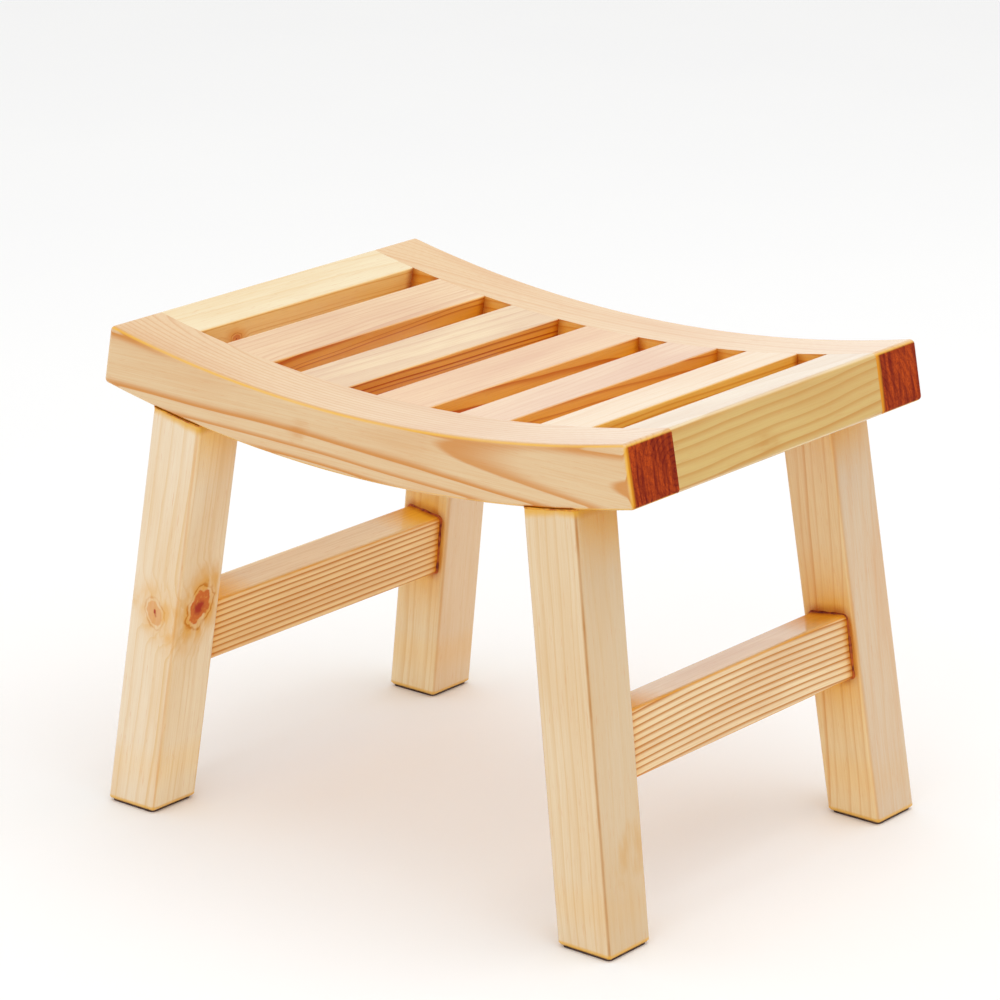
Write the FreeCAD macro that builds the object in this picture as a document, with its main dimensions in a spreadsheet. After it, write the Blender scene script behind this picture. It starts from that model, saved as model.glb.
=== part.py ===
import FreeCAD, Part
import os
import Sketcher

# Slatted wooden stool with a dished seat. Two curved rails run along X, seven slats run along Y
# between them, and four leaning legs carry the rails. One stretcher ties the legs at each end.
# Every joint is a glued dowel joint. Origin: on the floor, under the middle of the seat.
# +X runs along the rails, +Y from the front rail to the rear rail, +Z up. Millimetres.

DIMENSIONS = {
    # Seat outline
    "seat_radius": 900,            # radius of the dished top, about an axis along Y
    "seat_middle_height": 279,     # floor to the lowest line of the seat
    "seat_half_chord": 193.5,      # middle of the seat to the top arris of an end
    "seat_width": 280,             # over the outer faces of the two rails
    "end_lean": 10.5,              # degrees: the end faces lean outwards at the bottom
    "rail_width": 42,
    "rail_depth": 37,
    "edge_round": 3,               # rounding of the rails' and end slats' outer edges
    # Slats
    "slat_width": 38,
    "middle_slat_width": 41,
    "slat_gap": 21.2,
    "slat_thickness": 20,
    "slat_round": 1,
    # Legs
    "leg_size": 38,
    "leg_lean_long": 8,            # degrees, towards the seat's ends
    "leg_lean_cross": 2.6,         # degrees, towards the seat's sides
    "foot_half_length": 195.8,     # middle to the outer face of a foot, along X
    "foot_half_width": 151.2,      # middle to the outer face of a foot, along Y
    "leg_shoulder": 255.5,         # floor to the rail's underside, along the leg
    "leg_round": 3,
    "foot_chamfer": 1.2,
    "leg_blank_length": 330,
    "leg_blank_start": -20,
    # Stretchers
    "stretcher_level": 110,        # floor to the middle of a stretcher
    "stretcher_thickness": 27,
    "stretcher_height": 40,
    "stretcher_round": 2.5,
    "stretcher_spare": 10,         # extra length that the legs' inner faces cut off
    # Foot pads
    "pad_thickness": 1.5,
    "pad_inset": 1.8,
    "pad_round": 3,
    # Dowels: each hole is a little wider and longer than its dowel, for the glue
    "slat_dowel_diameter": 8,
    "slat_dowel_length": 30,
    "slat_dowel_offset": 9,        # dowel to the middle of the slat
    "leg_dowel_diameter": 10,
    "leg_dowel_length": 40,
    "leg_dowel_offset": 9,
    "stretcher_dowel_diameter": 8,
    "stretcher_dowel_length": 40,
    "stretcher_dowel_offset": 9,
    "glue_gap": 0.05,
    "hole_spare": 1,
}

INNER_SLATS = ["slat_1", "slat_2", "slat_3", "slat_4", "slat_5"]
ENDS = {"left": -1, "right": 1}
SIDES = {"front": -1, "rear": 1}

# Lengths that follow from the driving dimensions, as expressions on the sheet.
TO_DEGREES = "180 / pi"
SEAT_CENTRE = "(dim.seat_middle_height + dim.seat_radius)"
UNDERSIDE_RADIUS = "(dim.seat_radius + dim.rail_depth)"
SLAT_LENGTH = "(dim.seat_width - 2 * dim.rail_width)"
SLAT_PITCH = "(dim.slat_width + dim.slat_gap)"
FIRST_PITCH = "(dim.middle_slat_width / 2 + dim.slat_gap + dim.slat_width / 2)"
END_SLAT_ARC = f"({FIRST_PITCH} + {SLAT_PITCH} + dim.slat_width / 2 + dim.slat_gap)"
END_SLAT_INNER = f"({END_SLAT_ARC} / dim.seat_radius * {TO_DEGREES})"
SEAT_END = "(asin(dim.seat_half_chord / dim.seat_radius) / 1 deg)"
FOOT_X = "(dim.foot_half_length - dim.leg_size / 2 / cos(dim.leg_lean_long))"
FOOT_Y = "(dim.foot_half_width - dim.leg_size / 2 / cos(dim.leg_lean_cross))"
LEG_LEAN = "atan(sqrt(tan(dim.leg_lean_long) ^ 2 + tan(dim.leg_lean_cross) ^ 2))"
STRETCHER_X = f"({FOOT_X} - dim.stretcher_level * tan(dim.leg_lean_long))"
LEG_DRIFT_Y = "dim.stretcher_level * tan(dim.leg_lean_cross)"
STRETCHER_HALF = f"({FOOT_Y} - {LEG_DRIFT_Y} - dim.leg_size / 2 / cos(dim.leg_lean_cross))"


def add_sheet(doc):
    """The spreadsheet of driving dimensions, one alias to a row."""
    sheet = doc.addObject("Spreadsheet::Sheet", "dim")
    for row, (alias, value) in enumerate(DIMENSIONS.items(), start=1):
        sheet.set(f"A{row}", alias)
        sheet.set(f"B{row}", str(value))
        sheet.setAlias(f"B{row}", alias)
    doc.recompute()
    return sheet


def placement(x="0", y="0", z="0", axis=("0", "0", "1"), angle="0"):
    """A placement as one expression: a position, and a turn about an axis in degrees."""
    position = f"create(<<vector>>; {x}; {y}; {z})"
    turn_axis = f"create(<<vector>>; {axis[0]}; {axis[1]}; {axis[2]})"
    return f"create(<<placement>>; {position}; create(<<rotation>>; {turn_axis}; {angle}))"


def seat_frame(angle):
    """A frame on the axis of the seat's dish, turned so that its -Z meets the seat at an angle."""
    return placement(z=SEAT_CENTRE, axis=("0", "1", "0"), angle=f"-({angle})")


def leg_frame(end, side):
    """A frame at the foot of a leg's centre line, with +Z up along the leg."""
    lean_axis = (f"{side} * tan(dim.leg_lean_cross)", f"{-end} * tan(dim.leg_lean_long)", "0")
    return placement(f"{end} * {FOOT_X}", f"{side} * {FOOT_Y}", "0", lean_axis, LEG_LEAN)


def stretcher_frame(end):
    """A frame in the middle of a stretcher, which leans with its legs."""
    lean = f"{-end} * dim.leg_lean_long"
    return placement(f"{end} * {STRETCHER_X}", "0", "dim.stretcher_level", ("0", "1", "0"), lean)


def slat_angles():
    """The angle of each inner slat's middle on the dish, as an expression in degrees."""
    first = f"{FIRST_PITCH} / dim.seat_radius * {TO_DEGREES}"
    second = f"({FIRST_PITCH} + {SLAT_PITCH}) / dim.seat_radius * {TO_DEGREES}"
    return [f"-{second}", f"-{first}", "0", first, second]


def origin_plane(body, role):
    """One of a body's own origin planes."""
    for feature in body.Origin.OriginFeatures:
        if feature.Role == role:
            return feature
    raise ValueError(role)


def add_sketch(body, name, role):
    """An empty sketch on one of the body's origin planes."""
    sketch = body.newObject("Sketcher::SketchObject", name)
    sketch.AttachmentSupport = [(origin_plane(body, role), "")]
    sketch.MapMode = "FlatFace"
    return sketch


def constrain(sketch, kind, *arguments, value=None):
    """Adds a constraint; a value is an expression that drives it."""
    if value is None:
        sketch.addConstraint(Sketcher.Constraint(kind, *arguments))
        return
    start = FreeCAD.Units.Quantity(sketch.evalExpression(value))
    start = start.getValueAs("rad") if kind == "Angle" else start
    index = sketch.addConstraint(Sketcher.Constraint(kind, *arguments, start.Value))
    sketch.setExpression(f"Constraints[{index}]", value)


def line(x0, z0, x1, z1):
    return Part.LineSegment(FreeCAD.Vector(x0, z0, 0), FreeCAD.Vector(x1, z1, 0))


def arc(points):
    """The arc through three points of the sketch."""
    return Part.Arc(*[FreeCAD.Vector(x, z, 0) for x, z in points])


def add_pad(body, sketch, name, length, midplane=False, backwards=False):
    """The sketch pushed out to a solid."""
    pad = body.newObject("PartDesign::Pad", name)
    pad.Profile = sketch
    pad.Length = 10
    pad.setExpression("Length", length)
    pad.Midplane = midplane
    pad.Reversed = backwards
    sketch.Visibility = False
    body.Document.recompute()
    return pad


def add_fillet(body, base, name, radius, wanted):
    """Rounds every edge of the base for which wanted(edge) is true."""
    names = [f"Edge{i}" for i, edge in enumerate(base.Shape.Edges, start=1) if wanted(edge)]
    fillet = body.newObject("PartDesign::Fillet", name)
    fillet.Base = (base, names)
    fillet.Radius = 1
    fillet.setExpression("Radius", radius)
    body.Document.recompute()
    return fillet


def edge_span(edge, axis):
    """How far an edge reaches along an axis, 0 to 2."""
    box = edge.BoundBox
    return (box.XLength, box.YLength, box.ZLength)[axis]


def add_rectangle(sketch, width, height):
    """A rectangle centred on the sketch's origin."""
    sketch.addGeometry([line(-9, -9, 9, -9), line(9, -9, 9, 9), line(9, 9, -9, 9), line(-9, 9, -9, -9)])
    for side in range(4):
        constrain(sketch, "Coincident", side, 2, (side + 1) % 4, 1)
    for side in (0, 2):
        constrain(sketch, "Horizontal", side)
        constrain(sketch, "Vertical", side + 1)
    constrain(sketch, "Symmetric", 0, 1, 2, 1, -1, 1)
    constrain(sketch, "DistanceX", 0, 1, 0, 2, value=width)
    constrain(sketch, "DistanceY", 1, 1, 1, 2, value=height)


def add_rail_blank(doc, name, side):
    """A curved rail of even depth, with leaning ends. Its inner face lies on its own XZ plane."""
    body = doc.addObject("PartDesign::Body", f"{name}_blank")
    sketch = add_sketch(body, f"{name}_outline", "XZ_Plane")
    top = arc([(-193, 300), (0, 279), (193, 300)])
    bottom = arc([(-200, 263), (0, 242), (200, 263)])
    sketch.addGeometry([top, bottom, line(-200, 263, -193, 300), line(200, 263, 193, 300)])
    constrain(sketch, "Coincident", 0, 3, 1, 3)
    constrain(sketch, "PointOnObject", 0, 3, -2)
    constrain(sketch, "Symmetric", 0, 1, 0, 2, -2)
    constrain(sketch, "Symmetric", 1, 1, 1, 2, -2)
    for end_line, arc_end in ((2, 1), (3, 2)):
        constrain(sketch, "Coincident", end_line, 1, 1, arc_end)
        constrain(sketch, "Coincident", end_line, 2, 0, arc_end)
    constrain(sketch, "DistanceY", -1, 1, 0, 3, value=SEAT_CENTRE)
    constrain(sketch, "Radius", 0, value="dim.seat_radius")
    constrain(sketch, "Radius", 1, value=UNDERSIDE_RADIUS)
    constrain(sketch, "DistanceX", 0, 1, 0, 2, value="2 * dim.seat_half_chord")
    constrain(sketch, "Angle", 3, value="(90 + dim.end_lean) * 1 deg")
    pad = add_pad(body, sketch, f"{name}_bar", "dim.rail_width", backwards=(side > 0))

    def outer_or_underside(edge):
        on_inner_face = edge_span(edge, 1) < 0.01 and abs(edge.BoundBox.YMin) < 0.01
        middle_z = edge.valueAt(sum(edge.ParameterRange) / 2).z
        is_inner_bottom = edge_span(edge, 0) > 100 and middle_z < doc.dim.seat_middle_height - 10
        return not on_inner_face or is_inner_bottom

    add_fillet(body, pad, f"{name}_rounding", "dim.edge_round", outer_or_underside)
    inner_face = f"{side} * {SLAT_LENGTH} / 2"
    body.setExpression("Placement", placement(y=inner_face))
    return body


def add_inner_slat_blank(doc, name, width, angle):
    """A slat with a flat underside, its top worked to the seat's dish."""
    body = doc.addObject("PartDesign::Body", f"{name}_blank")
    sketch = add_sketch(body, f"{name}_section", "XZ_Plane")
    sketch.addGeometry([
        arc([(-19, -899), (0, -900), (19, -899)]),
        line(19, -899, 19, -920),
        line(19, -920, -19, -920),
        line(-19, -920, -19, -899),
    ])
    constrain(sketch, "Coincident", 0, 3, -1, 1)
    constrain(sketch, "Coincident", 0, 2, 1, 1)
    constrain(sketch, "Coincident", 1, 2, 2, 1)
    constrain(sketch, "Coincident", 2, 2, 3, 1)
    constrain(sketch, "Coincident", 3, 2, 0, 1)
    constrain(sketch, "Vertical", 1)
    constrain(sketch, "Vertical", 3)
    constrain(sketch, "Horizontal", 2)
    constrain(sketch, "Symmetric", 0, 1, 0, 2, -2)
    constrain(sketch, "Radius", 0, value="dim.seat_radius")
    constrain(sketch, "DistanceX", 0, 1, 0, 2, value=width)
    constrain(sketch, "DistanceY", 2, 1, -1, 1, value="dim.seat_radius + dim.slat_thickness")
    pad = add_pad(body, sketch, f"{name}_board", SLAT_LENGTH, midplane=True)
    add_fillet(body, pad, f"{name}_rounding", "dim.slat_round", lambda edge: edge_span(edge, 1) > 100)
    body.setExpression("Placement", seat_frame(angle))
    return body


def add_end_slat_blank(doc, name, end):
    """An end slat as deep as the rails, its outer face in the plane of the rails' ends."""
    body = doc.addObject("PartDesign::Body", f"{name}_blank")
    sketch = add_sketch(body, f"{name}_section", "XZ_Plane")
    top = arc([(159, 293), (177, 296), (193, 300)])
    bottom = arc([(165, 257), (183, 260), (200, 263)])
    sketch.addGeometry([top, bottom, line(165, 257, 159, 293), line(200, 263, 193, 300)])
    constrain(sketch, "Coincident", 0, 3, 1, 3)
    constrain(sketch, "PointOnObject", 0, 3, -2)
    for end_line, arc_end in ((2, 1), (3, 2)):
        constrain(sketch, "Coincident", end_line, 1, 1, arc_end)
        constrain(sketch, "Coincident", end_line, 2, 0, arc_end)
    constrain(sketch, "PointOnObject", 0, 3, 2)
    constrain(sketch, "DistanceY", -1, 1, 0, 3, value=SEAT_CENTRE)
    constrain(sketch, "Radius", 0, value="dim.seat_radius")
    constrain(sketch, "Radius", 1, value=UNDERSIDE_RADIUS)
    constrain(sketch, "DistanceX", -1, 1, 0, 2, value="dim.seat_half_chord")
    constrain(sketch, "Angle", 2, value=f"(90 + {END_SLAT_INNER}) * 1 deg")
    constrain(sketch, "Angle", 3, value="(90 + dim.end_lean) * 1 deg")
    pad = add_pad(body, sketch, f"{name}_board", SLAT_LENGTH, midplane=True)
    middle_x = pad.Shape.CenterOfMass.x
    outer = add_fillet(
        body, pad, f"{name}_outer_rounding", "dim.edge_round",
        lambda edge: edge_span(edge, 1) > 100 and edge.CenterOfMass.x > middle_x)
    add_fillet(
        body, outer, f"{name}_inner_rounding", "dim.slat_round",
        lambda edge: edge_span(edge, 1) > 100 and edge.CenterOfMass.x < middle_x)
    body.setExpression("Placement", placement(angle="0" if end > 0 else "180"))
    return body


def add_leg_blank(doc, name, end, side):
    """A square leg with rounded long edges, longer than the finished leg at both ends."""
    body = doc.addObject("PartDesign::Body", f"{name}_blank")
    sketch = add_sketch(body, f"{name}_section", "XY_Plane")
    sketch.setExpression("AttachmentOffset", placement(z="dim.leg_blank_start"))
    add_rectangle(sketch, "dim.leg_size", "dim.leg_size")
    pad = add_pad(body, sketch, f"{name}_bar", "dim.leg_blank_length")
    add_fillet(body, pad, f"{name}_rounding", "dim.leg_round", lambda edge: edge_span(edge, 2) > 100)
    body.setExpression("Placement", leg_frame(end, side))
    return body


def add_stretcher_blank(doc, name, end):
    """A stretcher that runs a little way into both of its legs."""
    body = doc.addObject("PartDesign::Body", f"{name}_blank")
    sketch = add_sketch(body, f"{name}_section", "XZ_Plane")
    add_rectangle(sketch, "dim.stretcher_thickness", "dim.stretcher_height")
    length = f"2 * ({STRETCHER_HALF} + dim.stretcher_spare)"
    pad = add_pad(body, sketch, f"{name}_bar", length, midplane=True)
    add_fillet(body, pad, f"{name}_rounding", "dim.stretcher_round", lambda edge: edge_span(edge, 1) > 100)
    body.setExpression("Placement", stretcher_frame(end))
    return body


def add_foot_pad(doc, name, end, side):
    """A thin square pad under a foot, a little smaller than the foot."""
    body = doc.addObject("PartDesign::Body", name)
    sketch = add_sketch(body, f"{name}_outline", "XY_Plane")
    size = "dim.leg_size - 2 * dim.pad_inset"
    add_rectangle(sketch, size, size)
    pad = add_pad(body, sketch, f"{name}_sheet", "dim.pad_thickness")
    add_fillet(body, pad, f"{name}_corners", "dim.pad_round", lambda edge: edge_span(edge, 2) > 1)
    body.setExpression("Placement", placement(f"{end} * {FOOT_X}", f"{side} * {FOOT_Y}"))
    return body


def add_pin(doc, name, diameter, length, x, y, z, along_y):
    """A round pin centred on (x, y, z) of its group's frame, along Y or along Z."""
    pin = doc.addObject("Part::Cylinder", name)
    pin.setExpression("Radius", f"({diameter}) / 2")
    pin.setExpression("Height", length)
    if along_y:
        frame = placement(x, f"{y} - ({length}) / 2", z, ("1", "0", "0"), "-90")
    else:
        frame = placement(x, y, f"{z} - ({length}) / 2")
    pin.setExpression("Placement", frame)
    return pin


def add_pin_group(doc, name, kind, points, frame, along_y, drill):
    """The dowels of one joint group, or the drillings for them, placed by the group's frame."""
    diameter = f"dim.{kind}_dowel_diameter"
    length = f"dim.{kind}_dowel_length"
    if drill:
        name = f"{name}_drillings"
        diameter = f"{diameter} + 2 * dim.glue_gap"
        length = f"{length} + 2 * dim.hole_spare"
    pins = []
    for number, (x, y, z) in enumerate(points, start=1):
        pins.append(add_pin(doc, f"{name}_{number}", diameter, length, x, y, z, along_y))
    return add_group(doc, name, pins, frame)


def add_group(doc, name, members, frame=None):
    """Separate solids held together as one object."""
    group = doc.addObject("Part::Compound", name)
    group.Links = members
    if frame:
        group.setExpression("Placement", frame)
    return group


def add_cut(doc, name, base, tool):
    cut = doc.addObject("Part::Cut", name)
    cut.Base = base
    cut.Tool = tool
    return cut


def slat_pin_points(is_end_slat):
    """Two dowels at each end of a slat: side by side, or one above the other in a deep end slat."""
    points = []
    for side in (-1, 1):
        y = f"{side} * {SLAT_LENGTH} / 2"
        for way in (-1, 1):
            if is_end_slat:
                z = f"-(dim.seat_radius + dim.rail_depth / 2 + {way} * dim.slat_dowel_offset)"
                points.append(("0", y, z))
            else:
                z = "-(dim.seat_radius + dim.slat_thickness / 2)"
                points.append((f"{way} * dim.slat_dowel_offset", y, z))
    return points


def add_slats(doc):
    """All seven slats, with their dowels and the drillings for them."""
    slats = []
    dowels = []
    drillings = []
    end_angle = f"({END_SLAT_INNER} + {SEAT_END}) / 2"
    plan = [(name, angle, 0) for name, angle in zip(INNER_SLATS, slat_angles())]
    plan += [(f"end_slat_{word}", f"{end} * {end_angle}", end) for word, end in ENDS.items()]
    for name, angle, end in plan:
        if end:
            blank = add_end_slat_blank(doc, name, end)
        else:
            is_middle = name == INNER_SLATS[len(INNER_SLATS) // 2]
            width = "dim.middle_slat_width" if is_middle else "dim.slat_width"
            blank = add_inner_slat_blank(doc, name, width, angle)
        points = slat_pin_points(end != 0)
        frame = seat_frame(angle)
        dowels.append(add_pin_group(doc, f"{name}_dowels", "slat", points, frame, True, False))
        drilling = add_pin_group(doc, f"{name}_dowels", "slat", points, frame, True, True)
        drillings.append(drilling)
        slats.append(add_cut(doc, name, blank, drilling))
    return slats, dowels, drillings


def add_legs(doc):
    """The legs, cut level above the pads and to the curve of the rails' underside."""
    floor_block = doc.addObject("Part::Box", "leg_space")
    for size in ("Length", "Width"):
        floor_block.setExpression(size, "4 * dim.foot_half_length")
    floor_block.setExpression("Height", "dim.seat_middle_height")
    corner = "-2 * dim.foot_half_length"
    floor_block.setExpression("Placement", placement(corner, corner, "dim.pad_thickness"))
    underside = doc.addObject("Part::Cylinder", "seat_underside")
    underside.setExpression("Radius", f"{UNDERSIDE_RADIUS} + dim.glue_gap")
    underside.setExpression("Height", "4 * dim.foot_half_width")
    start = "-2 * dim.foot_half_width"
    underside.setExpression("Placement", placement("0", start, SEAT_CENTRE, ("1", "0", "0"), "-90"))

    legs = {}
    blanks = {}
    dowels = []
    drillings = []
    points = [(f"{way} * dim.leg_dowel_offset", "0", "dim.leg_shoulder") for way in (-1, 1)]
    for side_word, side in SIDES.items():
        for end_word, end in ENDS.items():
            name = f"leg_{side_word}_{end_word}"
            blank = add_leg_blank(doc, name, end, side)
            levelled = doc.addObject("Part::Common", f"{name}_levelled")
            levelled.Base = blank
            levelled.Tool = floor_block
            shouldered = add_cut(doc, f"{name}_shouldered", levelled, underside)
            frame = leg_frame(end, side)
            dowels.append(add_pin_group(doc, f"{name}_dowels", "leg", points, frame, False, False))
            drilling = add_pin_group(doc, f"{name}_dowels", "leg", points, frame, False, True)
            drillings.append(drilling)
            legs[(end, side)] = add_cut(doc, f"{name}_drilled", shouldered, drilling)
            blanks[(end, side)] = blank
    return legs, blanks, dowels, drillings


def add_stretchers(doc, leg_blanks):
    """The stretchers, cut to the legs' inner faces, with their dowels and drillings."""
    stretchers = []
    dowels = []
    drillings = {}
    points = []
    for side in (-1, 1):
        for way in (-1, 1):
            points.append(("0", f"{side} * {STRETCHER_HALF}", f"{way} * dim.stretcher_dowel_offset"))
    for end_word, end in ENDS.items():
        name = f"stretcher_{end_word}"
        blank = add_stretcher_blank(doc, name, end)
        own_legs = add_group(doc, f"{name}_legs", [leg_blanks[(end, side)] for side in (-1, 1)])
        fitted = add_cut(doc, f"{name}_fitted", blank, own_legs)
        frame = stretcher_frame(end)
        dowels.append(add_pin_group(doc, f"{name}_dowels", "stretcher", points, frame, True, False))
        drilling = add_pin_group(doc, f"{name}_dowels", "stretcher", points, frame, True, True)
        drillings[end] = drilling
        stretchers.append(add_cut(doc, name, fitted, drilling))
    return stretchers, dowels, drillings


def finish_legs(doc, legs, stretcher_drillings):
    """Drills the legs for the stretchers and takes the sharp edge off each foot."""
    finished = []
    for side_word, side in SIDES.items():
        for end_word, end in ENDS.items():
            name = f"leg_{side_word}_{end_word}"
            bored = add_cut(doc, f"{name}_bored", legs[(end, side)], stretcher_drillings[end])
            doc.recompute()
            level = doc.dim.pad_thickness
            feet = []
            for number, edge in enumerate(bored.Shape.Edges, start=1):
                if abs(edge.BoundBox.ZMin - level) < 0.01 and edge.BoundBox.ZLength < 0.01:
                    feet.append((number, doc.dim.foot_chamfer, doc.dim.foot_chamfer))
            leg = doc.addObject("Part::Chamfer", name)
            leg.Base = bored
            leg.Edges = feet
            finished.append(leg)
    return finished


def add_rails(doc, drillings):
    """Both rails, drilled for the slats and for the legs."""
    all_drillings = add_group(doc, "rail_drillings", drillings)
    rails = []
    for side_word, side in SIDES.items():
        name = f"{side_word}_rail"
        rails.append(add_cut(doc, name, add_rail_blank(doc, name, side), all_drillings))
    return rails


def check(doc, nodes):
    """Stops the script if anything in the document failed."""
    for item in doc.Objects:
        if "Invalid" in item.State or "Error" in item.State:
            raise RuntimeError(f"{item.Name} did not compute: {item.State}")
    for node in nodes:
        if node.Shape.isNull() or not node.Shape.isValid() or not node.Shape.Solids:
            raise RuntimeError(f"{node.Label} has no valid solid")


def build():
    doc = FreeCAD.newDocument("shower_stool")
    add_sheet(doc)
    slats, slat_dowels, slat_drillings = add_slats(doc)
    legs, leg_blanks, leg_dowels, leg_drillings = add_legs(doc)
    stretchers, stretcher_dowels, stretcher_drillings = add_stretchers(doc, leg_blanks)
    finished_legs = finish_legs(doc, legs, stretcher_drillings)
    rails = add_rails(doc, slat_drillings + leg_drillings)
    nodes = rails + slats + finished_legs + stretchers
    for side_word, side in SIDES.items():
        for end_word, end in ENDS.items():
            nodes.append(add_foot_pad(doc, f"foot_pad_{side_word}_{end_word}", end, side))
    nodes.append(add_group(doc, "slat_dowels", slat_dowels))
    nodes.append(add_group(doc, "leg_dowels", leg_dowels))
    nodes.append(add_group(doc, "stretcher_dowels", stretcher_dowels))
    doc.recompute()
    check(doc, nodes)
    os.makedirs("parts", exist_ok=True)
    for node in nodes:
        node.Label = node.Name
        node.Shape.exportStep(f"parts/{node.Label}.step")
        box = node.Shape.optimalBoundingBox()
        size = f"{box.XLength:7.1f} {box.YLength:7.1f} {box.ZLength:7.1f}"
        print(f"{node.Label:26s} solids {len(node.Shape.Solids):2d}  size {size}")


build()
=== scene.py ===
"""The looks of a slatted pine shower stool: varnished boards, rubber pads, a pale floor, studio light."""
import math

import bmesh
import bpy
from mathutils import Matrix, Vector, noise


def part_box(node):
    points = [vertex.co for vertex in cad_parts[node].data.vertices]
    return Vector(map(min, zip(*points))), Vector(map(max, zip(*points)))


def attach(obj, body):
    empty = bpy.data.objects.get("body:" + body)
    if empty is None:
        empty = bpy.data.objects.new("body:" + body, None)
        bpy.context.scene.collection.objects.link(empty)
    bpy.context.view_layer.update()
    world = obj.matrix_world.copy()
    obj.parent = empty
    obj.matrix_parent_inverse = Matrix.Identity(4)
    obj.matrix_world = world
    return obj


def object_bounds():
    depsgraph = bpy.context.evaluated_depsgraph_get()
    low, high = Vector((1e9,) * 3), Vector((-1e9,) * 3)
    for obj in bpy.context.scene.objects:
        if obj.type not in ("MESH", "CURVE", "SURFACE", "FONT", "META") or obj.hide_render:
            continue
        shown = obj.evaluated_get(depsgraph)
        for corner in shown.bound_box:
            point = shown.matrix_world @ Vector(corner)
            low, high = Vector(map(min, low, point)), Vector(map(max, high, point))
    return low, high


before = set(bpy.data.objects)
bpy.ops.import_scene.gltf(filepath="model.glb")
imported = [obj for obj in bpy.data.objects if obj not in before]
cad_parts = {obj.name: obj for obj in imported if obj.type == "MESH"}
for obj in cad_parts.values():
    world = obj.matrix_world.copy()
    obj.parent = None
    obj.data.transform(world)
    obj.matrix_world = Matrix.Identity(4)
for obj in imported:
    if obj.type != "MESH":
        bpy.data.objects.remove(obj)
CAD_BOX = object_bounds()

MM = 0.001

# The camera: its direction from the stool in degrees, its distance in metres, and the point that it looks at,
# from the middle of the CAD box.
CAMERA_AZIMUTH = 39.37
CAMERA_ELEVATION = 17.62
CAMERA_DISTANCE = 2.549
CAMERA_AIM = Vector((-4.8, -3.9, 45.7)) * MM
CAMERA_LENS = 153.24
CAMERA_CLIP_END = 100.0
SENSOR_WIDTH = 36.0

# The studio: half the floor's width in metres, how far it lies under the feet, the light from all round, and
# each softbox's place from the stool's middle, its width and its power.
FLOOR_HALF_SIZE = 14.0
FLOOR_DROP = 0.05 * MM
HORIZON_LIGHT = 1.13
ZENITH_LIGHT = 0.82
SOFTBOXES = {
    "key_softbox": (Vector((0.3, -2.2, 1.6)), 1.6, 6.0),
    "top_softbox": (Vector((0.5, 0.2, 2.1)), 1.8, 12.0),
}

# Each kind of board: the axis its grain runs along, and the next two axes in turn.
GRAIN_AXES = {"rail": "XYZ", "slat": "YZX", "stretcher": "YZX", "leg": "ZXY"}

# The part of a vector in a board's own frame that points up, or on a leg, which stands, to the right.
UP_PART = {"rail": 2, "slat": 1, "stretcher": 1, "leg": 1}

# How large that part of a face's normal is where the face stops being a plain side, and where it counts
# wholly as the upper one, or on a leg, the right one.
UP_FROM = 0.5
UP_TO = 0.85


def colour(red, green, blue):
    """A display colour of 0 to 255 as the linear values that a shader takes."""
    def linear(value):
        share = value / 255.0
        return share / 12.92 if share <= 0.04045 else ((share + 0.055) / 1.055) ** 2.4
    return (linear(red), linear(green), linear(blue), 1.0)


WHITE = (1.0, 1.0, 1.0, 1.0)
FLOOR_COLOURS = (colour(250, 250, 250), colour(253, 253, 252))
RUBBER_COLOURS = (colour(58, 36, 30), colour(84, 58, 48))
BEECH_COLOURS = (colour(222, 184, 146), colour(176, 124, 86))

# How deep the relief of the rubber, the beech and the beads is.
FINE_RELIEF = 0.2 * MM

# The golden varnish: its colour in the wood's flecks. Then painted shade deep in a gap, standing in for light
# bounced between the boards: what it multiplies each colour by. A gap is where other boards hide part of the
# sky within a reach.
POOL = colour(206, 112, 26)
GAP_SHADE_TINT = (1.08, 0.74, 0.08, 1.0)
GAP_REACH = 45.0 * MM

# The share of open sky at which each kind of board has all of that tint, and the share at which none has any.
GAP_FULL = {"rail": 0.56, "slat": 0.56, "stretcher": 0.72, "leg": 0.56}
GAP_NONE = 0.99

# The dark line in a tight corner, partly the real dark line of a joint and partly painted shade where the
# corner hides the sky, with the shares of open sky at which it is full and at which it is gone.
SEAM_AND_SHADE = colour(170, 58, 0)
SEAM_SHADE_REACH = 7.0 * MM
SEAM_SHADE_FULL = 0.6
SEAM_SHADE_NONE = 0.9

# The heights above the floor between which the painted shade of gaps and corners starts to count, so that the
# floor makes none.
CLEAR_FROM = 10.0 * MM
CLEAR_TO = 50.0 * MM

# The yellow at a leg's two ends: at its top, under the rail, a painted glow of light bounced in the joint,
# and at its foot a yellow band just above the floor. How far below its top and above its foot it is full and
# gone, how unevenly it ends at the top, and how much of it shows.
JOINT_GLOW = colour(224, 166, 34)
TOP_GLOW_FULL = 4.0 * MM
TOP_GLOW_GONE = 9.0 * MM
TOP_GLOW_UNEVEN = 6.0 * MM
TOP_GLOW_SHARE = 0.85
FOOT_GLOW_FULL = 3.0 * MM
FOOT_GLOW_GONE = 5.0 * MM
FOOT_GLOW_SHARE = 0.8

# The boards' ends, and how far forward of a rail's middle, and how unevenly, its end turns pale.
END_EARLY = colour(184, 70, 10)
END_LATE = colour(106, 10, 0)
END_RIM = colour(222, 146, 34)
END_RIM_FROM = 19.2 * MM
END_RIM_FULL = 22.2 * MM
END_RIM_UNEVEN = 4.0 * MM
END_RIM_SHARE = 0.9

# The arris of each kind of board: its colour, partly wear and partly a painted highlight, and how much of it
# shows.
EDGE_WEAR_AND_HIGHLIGHT = {
    "rail": (colour(234, 178, 52), 0.8),
    "slat": (colour(244, 220, 170), 0.5),
    "stretcher": (colour(222, 150, 14), 0.85),
    "leg": (colour(208, 140, 40), 0.45),
}

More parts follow.
